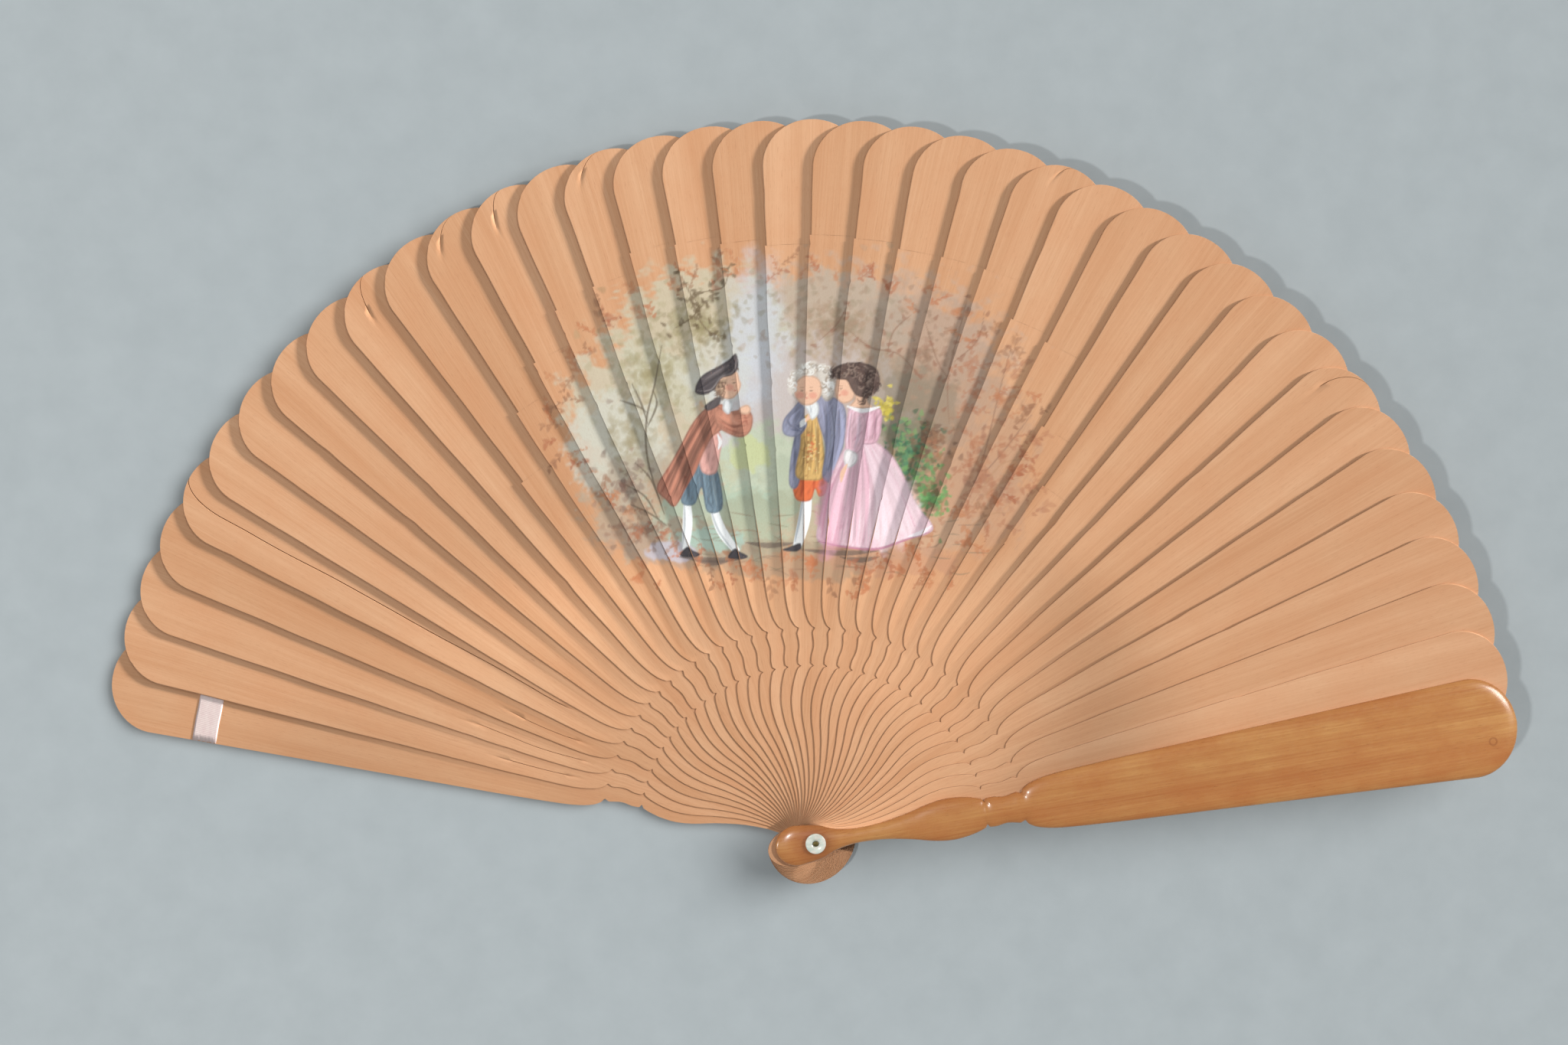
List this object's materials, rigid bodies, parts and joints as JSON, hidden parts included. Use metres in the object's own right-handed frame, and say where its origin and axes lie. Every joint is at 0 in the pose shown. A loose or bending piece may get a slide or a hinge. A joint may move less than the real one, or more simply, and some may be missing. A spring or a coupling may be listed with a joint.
{
  "type": "hand fan",
  "caption": "Open wooden brisé hand fan: thin overlapping sticks between two thicker guards, turning on one rivet and linked by a ribbon near their tips.",
  "frame": {"origin": "on the rivet's axis, at the flat rear end of the rivet pin, where the fan lies lowest", "axes": "+Z along the rivet towards the painted face and the front guard; +Y up the middle of the open fan, from the rivet to the tips; +X towards the front guard"},
  "size_m": [0.5028, 0.2728, 0.0311],
  "materials": {
    "stick_wood": "bare, fine grain, matte",
    "painted_wood": "bare, fine grain, matte, with a scene in opaque watercolour across it",
    "guard_wood": "varnished, glossy, worn",
    "pearl": "polished mother-of-pearl",
    "rivet_metal": "dark and tarnished",
    "ribbon_silk": "faded pale pink silk, ribbed across"
  },
  "bodies": {
    "rear_guard": {"rear_guard": "guard_wood", "rivet_pin": "rivet_metal", "rear_washer": "pearl", "front_washer": "pearl", "ribbon": "ribbon_silk"},
    "stick_02": {"stick_02": "stick_wood"},
    "stick_03": {"stick_03": "stick_wood"},
    "stick_04": {"stick_04": "stick_wood"},
    "stick_05": {"stick_05": "stick_wood"},
    "stick_06": {"stick_06": "stick_wood"},
    "stick_07": {"stick_07": "stick_wood"},
    "stick_08": {"stick_08": "stick_wood"},
    "stick_09": {"stick_09": "stick_wood"},
    "stick_10": {"stick_10": "stick_wood"},
    "stick_11": {"stick_11": "painted_wood"},
    "stick_12": {"stick_12": "painted_wood"},
    "stick_13": {"stick_13": "painted_wood"},
    "stick_14": {"stick_14": "painted_wood"},
    "stick_15": {"stick_15": "painted_wood"},
    "stick_16": {"stick_16": "painted_wood"},
    "stick_17": {"stick_17": "painted_wood"},
    "stick_18": {"stick_18": "painted_wood"},
    "stick_19": {"stick_19": "painted_wood"},
    "stick_20": {"stick_20": "painted_wood"},
    "stick_21": {"stick_21": "painted_wood"},
    "stick_22": {"stick_22": "painted_wood"},
    "stick_23": {"stick_23": "painted_wood"},
    "stick_24": {"stick_24": "painted_wood"},
    "stick_25": {"stick_25": "painted_wood"},
    "stick_26": {"stick_26": "painted_wood"},
    "stick_27": {"stick_27": "painted_wood"},
    "stick_28": {"stick_28": "painted_wood"},
    "stick_29": {"stick_29": "painted_wood"},
    "stick_30": {"stick_30": "stick_wood"},
    "stick_31": {"stick_31": "stick_wood"},
    "stick_32": {"stick_32": "stick_wood"},
    "stick_33": {"stick_33": "stick_wood"},
    "stick_34": {"stick_34": "stick_wood"},
    "stick_35": {"stick_35": "stick_wood"},
    "stick_36": {"stick_36": "stick_wood"},
    "stick_37": {"stick_37": "stick_wood"},
    "front_guard": {"front_guard": "guard_wood"}
  },
  "joints": [
    {"name": "stick_02_fold", "type": "hinge", "parent": "rear_guard", "child": "stick_02", "pos_m": [0, 0, 0], "axis": [0, 0, 1], "range_deg": [0, 4.25], "deforming": ["ribbon"]},
    {"name": "stick_03_fold", "type": "hinge", "parent": "stick_02", "child": "stick_03", "pos_m": [0, 0, 0], "axis": [0, 0, 1], "range_deg": [0, 4.25]},
    {"name": "stick_04_fold", "type": "hinge", "parent": "stick_03", "child": "stick_04", "pos_m": [0, 0, 0], "axis": [0, 0, 1], "range_deg": [0, 4.25]},
    {"name": "stick_05_fold", "type": "hinge", "parent": "stick_04", "child": "stick_05", "pos_m": [0, 0, 0], "axis": [0, 0, 1], "range_deg": [0, 4.25]},
    {"name": "stick_06_fold", "type": "hinge", "parent": "stick_05", "child": "stick_06", "pos_m": [0, 0, 0], "axis": [0, 0, 1], "range_deg": [0, 4.25]},
    {"name": "stick_07_fold", "type": "hinge", "parent": "stick_06", "child": "stick_07", "pos_m": [0, 0, 0], "axis": [0, 0, 1], "range_deg": [0, 4.25]},
    {"name": "stick_08_fold", "type": "hinge", "parent": "stick_07", "child": "stick_08", "pos_m": [0, 0, 0], "axis": [0, 0, 1], "range_deg": [0, 4.25]},
    {"name": "stick_09_fold", "type": "hinge", "parent": "stick_08", "child": "stick_09", "pos_m": [0, 0, 0], "axis": [0, 0, 1], "range_deg": [0, 4.25]},
    {"name": "stick_10_fold", "type": "hinge", "parent": "stick_09", "child": "stick_10", "pos_m": [0, 0, 0], "axis": [0, 0, 1], "range_deg": [0, 4.25]},
    {"name": "stick_11_fold", "type": "hinge", "parent": "stick_10", "child": "stick_11", "pos_m": [0, 0, 0], "axis": [0, 0, 1], "range_deg": [0, 4.25]},
    {"name": "stick_12_fold", "type": "hinge", "parent": "stick_11", "child": "stick_12", "pos_m": [0, 0, 0], "axis": [0, 0, 1], "range_deg": [0, 4.25]},
    {"name": "stick_13_fold", "type": "hinge", "parent": "stick_12", "child": "stick_13", "pos_m": [0, 0, 0], "axis": [0, 0, 1], "range_deg": [0, 4.25]},
    {"name": "stick_14_fold", "type": "hinge", "parent": "stick_13", "child": "stick_14", "pos_m": [0, 0, 0], "axis": [0, 0, 1], "range_deg": [0, 4.25]},
    {"name": "stick_15_fold", "type": "hinge", "parent": "stick_14", "child": "stick_15", "pos_m": [0, 0, 0], "axis": [0, 0, 1], "range_deg": [0, 4.25]},
    {"name": "stick_16_fold", "type": "hinge", "parent": "stick_15", "child": "stick_16", "pos_m": [0, 0, 0], "axis": [0, 0, 1], "range_deg": [0, 4.25]},
    {"name": "stick_17_fold", "type": "hinge", "parent": "stick_16", "child": "stick_17", "pos_m": [0, 0, 0], "axis": [0, 0, 1], "range_deg": [0, 4.25]},
    {"name": "stick_18_fold", "type": "hinge", "parent": "stick_17", "child": "stick_18", "pos_m": [0, 0, 0], "axis": [0, 0, 1], "range_deg": [0, 4.25]},
    {"name": "stick_19_fold", "type": "hinge", "parent": "stick_18", "child": "stick_19", "pos_m": [0, 0, 0], "axis": [0, 0, 1], "range_deg": [0, 4.25]},
    {"name": "stick_20_fold", "type": "hinge", "parent": "stick_19", "child": "stick_20", "pos_m": [0, 0, 0], "axis": [0, 0, 1], "range_deg": [0, 4.25]},
    {"name": "stick_21_fold", "type": "hinge", "parent": "stick_20", "child": "stick_21", "pos_m": [0, 0, 0], "axis": [0, 0, 1], "range_deg": [0, 4.25]},
    {"name": "stick_22_fold", "type": "hinge", "parent": "stick_21", "child": "stick_22", "pos_m": [0, 0, 0], "axis": [0, 0, 1], "range_deg": [0, 4.25]},
    {"name": "stick_23_fold", "type": "hinge", "parent": "stick_22", "child": "stick_23", "pos_m": [0, 0, 0], "axis": [0, 0, 1], "range_deg": [0, 4.25]},
    {"name": "stick_24_fold", "type": "hinge", "parent": "stick_23", "child": "stick_24", "pos_m": [0, 0, 0], "axis": [0, 0, 1], "range_deg": [0, 4.25]},
    {"name": "stick_25_fold", "type": "hinge", "parent": "stick_24", "child": "stick_25", "pos_m": [0, 0, 0], "axis": [0, 0, 1], "range_deg": [0, 4.25]},
    {"name": "stick_26_fold", "type": "hinge", "parent": "stick_25", "child": "stick_26", "pos_m": [0, 0, 0], "axis": [0, 0, 1], "range_deg": [0, 4.25]},
    {"name": "stick_27_fold", "type": "hinge", "parent": "stick_26", "child": "stick_27", "pos_m": [0, 0, 0], "axis": [0, 0, 1], "range_deg": [0, 4.25]},
    {"name": "stick_28_fold", "type": "hinge", "parent": "stick_27", "child": "stick_28", "pos_m": [0, 0, 0], "axis": [0, 0, 1], "range_deg": [0, 4.25]},
    {"name": "stick_29_fold", "type": "hinge", "parent": "stick_28", "child": "stick_29", "pos_m": [0, 0, 0], "axis": [0, 0, 1], "range_deg": [0, 4.25]},
    {"name": "stick_30_fold", "type": "hinge", "parent": "stick_29", "child": "stick_30", "pos_m": [0, 0, 0], "axis": [0, 0, 1], "range_deg": [0, 4.25]},
    {"name": "stick_31_fold", "type": "hinge", "parent": "stick_30", "child": "stick_31", "pos_m": [0, 0, 0], "axis": [0, 0, 1], "range_deg": [0, 4.25]},
    {"name": "stick_32_fold", "type": "hinge", "parent": "stick_31", "child": "stick_32", "pos_m": [0, 0, 0], "axis": [0, 0, 1], "range_deg": [0, 4.25]},
    {"name": "stick_33_fold", "type": "hinge", "parent": "stick_32", "child": "stick_33", "pos_m": [0, 0, 0], "axis": [0, 0, 1], "range_deg": [0, 4.25]},
    {"name": "stick_34_fold", "type": "hinge", "parent": "stick_33", "child": "stick_34", "pos_m": [0, 0, 0], "axis": [0, 0, 1], "range_deg": [0, 4.25]},
    {"name": "stick_35_fold", "type": "hinge", "parent": "stick_34", "child": "stick_35", "pos_m": [0, 0, 0], "axis": [0, 0, 1], "range_deg": [0, 4.25]},
    {"name": "stick_36_fold", "type": "hinge", "parent": "stick_35", "child": "stick_36", "pos_m": [0, 0, 0], "axis": [0, 0, 1], "range_deg": [0, 4.25]},
    {"name": "stick_37_fold", "type": "hinge", "parent": "stick_36", "child": "stick_37", "pos_m": [0, 0, 0], "axis": [0, 0, 1], "range_deg": [0, 4.25]},
    {"name": "front_guard_fold", "type": "hinge", "parent": "stick_37", "child": "front_guard", "pos_m": [0, 0, 0], "axis": [0, 0, 1], "range_deg": [0, 4.25]}
  ],
  "couplings": [
    {"joint": "stick_03_fold", "follows": "stick_02_fold", "ratio": 1},
    {"joint": "stick_04_fold", "follows": "stick_02_fold", "ratio": 1},
    {"joint": "stick_05_fold", "follows": "stick_02_fold", "ratio": 1},
    {"joint": "stick_06_fold", "follows": "stick_02_fold", "ratio": 1},
    {"joint": "stick_07_fold", "follows": "stick_02_fold", "ratio": 1},
    {"joint": "stick_08_fold", "follows": "stick_02_fold", "ratio": 1},
    {"joint": "stick_09_fold", "follows": "stick_02_fold", "ratio": 1},
    {"joint": "stick_10_fold", "follows": "stick_02_fold", "ratio": 1},
    {"joint": "stick_11_fold", "follows": "stick_02_fold", "ratio": 1},
    {"joint": "stick_12_fold", "follows": "stick_02_fold", "ratio": 1},
    {"joint": "stick_13_fold", "follows": "stick_02_fold", "ratio": 1},
    {"joint": "stick_14_fold", "follows": "stick_02_fold", "ratio": 1},
    {"joint": "stick_15_fold", "follows": "stick_02_fold", "ratio": 1},
    {"joint": "stick_16_fold", "follows": "stick_02_fold", "ratio": 1},
    {"joint": "stick_17_fold", "follows": "stick_02_fold", "ratio": 1},
    {"joint": "stick_18_fold", "follows": "stick_02_fold", "ratio": 1},
    {"joint": "stick_19_fold", "follows": "stick_02_fold", "ratio": 1},
    {"joint": "stick_20_fold", "follows": "stick_02_fold", "ratio": 1},
    {"joint": "stick_21_fold", "follows": "stick_02_fold", "ratio": 1},
    {"joint": "stick_22_fold", "follows": "stick_02_fold", "ratio": 1},
    {"joint": "stick_23_fold", "follows": "stick_02_fold", "ratio": 1},
    {"joint": "stick_24_fold", "follows": "stick_02_fold", "ratio": 1},
    {"joint": "stick_25_fold", "follows": "stick_02_fold", "ratio": 1},
    {"joint": "stick_26_fold", "follows": "stick_02_fold", "ratio": 1},
    {"joint": "stick_27_fold", "follows": "stick_02_fold", "ratio": 1},
    {"joint": "stick_28_fold", "follows": "stick_02_fold", "ratio": 1},
    {"joint": "stick_29_fold", "follows": "stick_02_fold", "ratio": 1},
    {"joint": "stick_30_fold", "follows": "stick_02_fold", "ratio": 1},
    {"joint": "stick_31_fold", "follows": "stick_02_fold", "ratio": 1},
    {"joint": "stick_32_fold", "follows": "stick_02_fold", "ratio": 1},
    {"joint": "stick_33_fold", "follows": "stick_02_fold", "ratio": 1},
    {"joint": "stick_34_fold", "follows": "stick_02_fold", "ratio": 1},
    {"joint": "stick_35_fold", "follows": "stick_02_fold", "ratio": 1},
    {"joint": "stick_36_fold", "follows": "stick_02_fold", "ratio": 1},
    {"joint": "stick_37_fold", "follows": "stick_02_fold", "ratio": 1},
    {"joint": "front_guard_fold", "follows": "stick_02_fold", "ratio": 1}
  ]
}
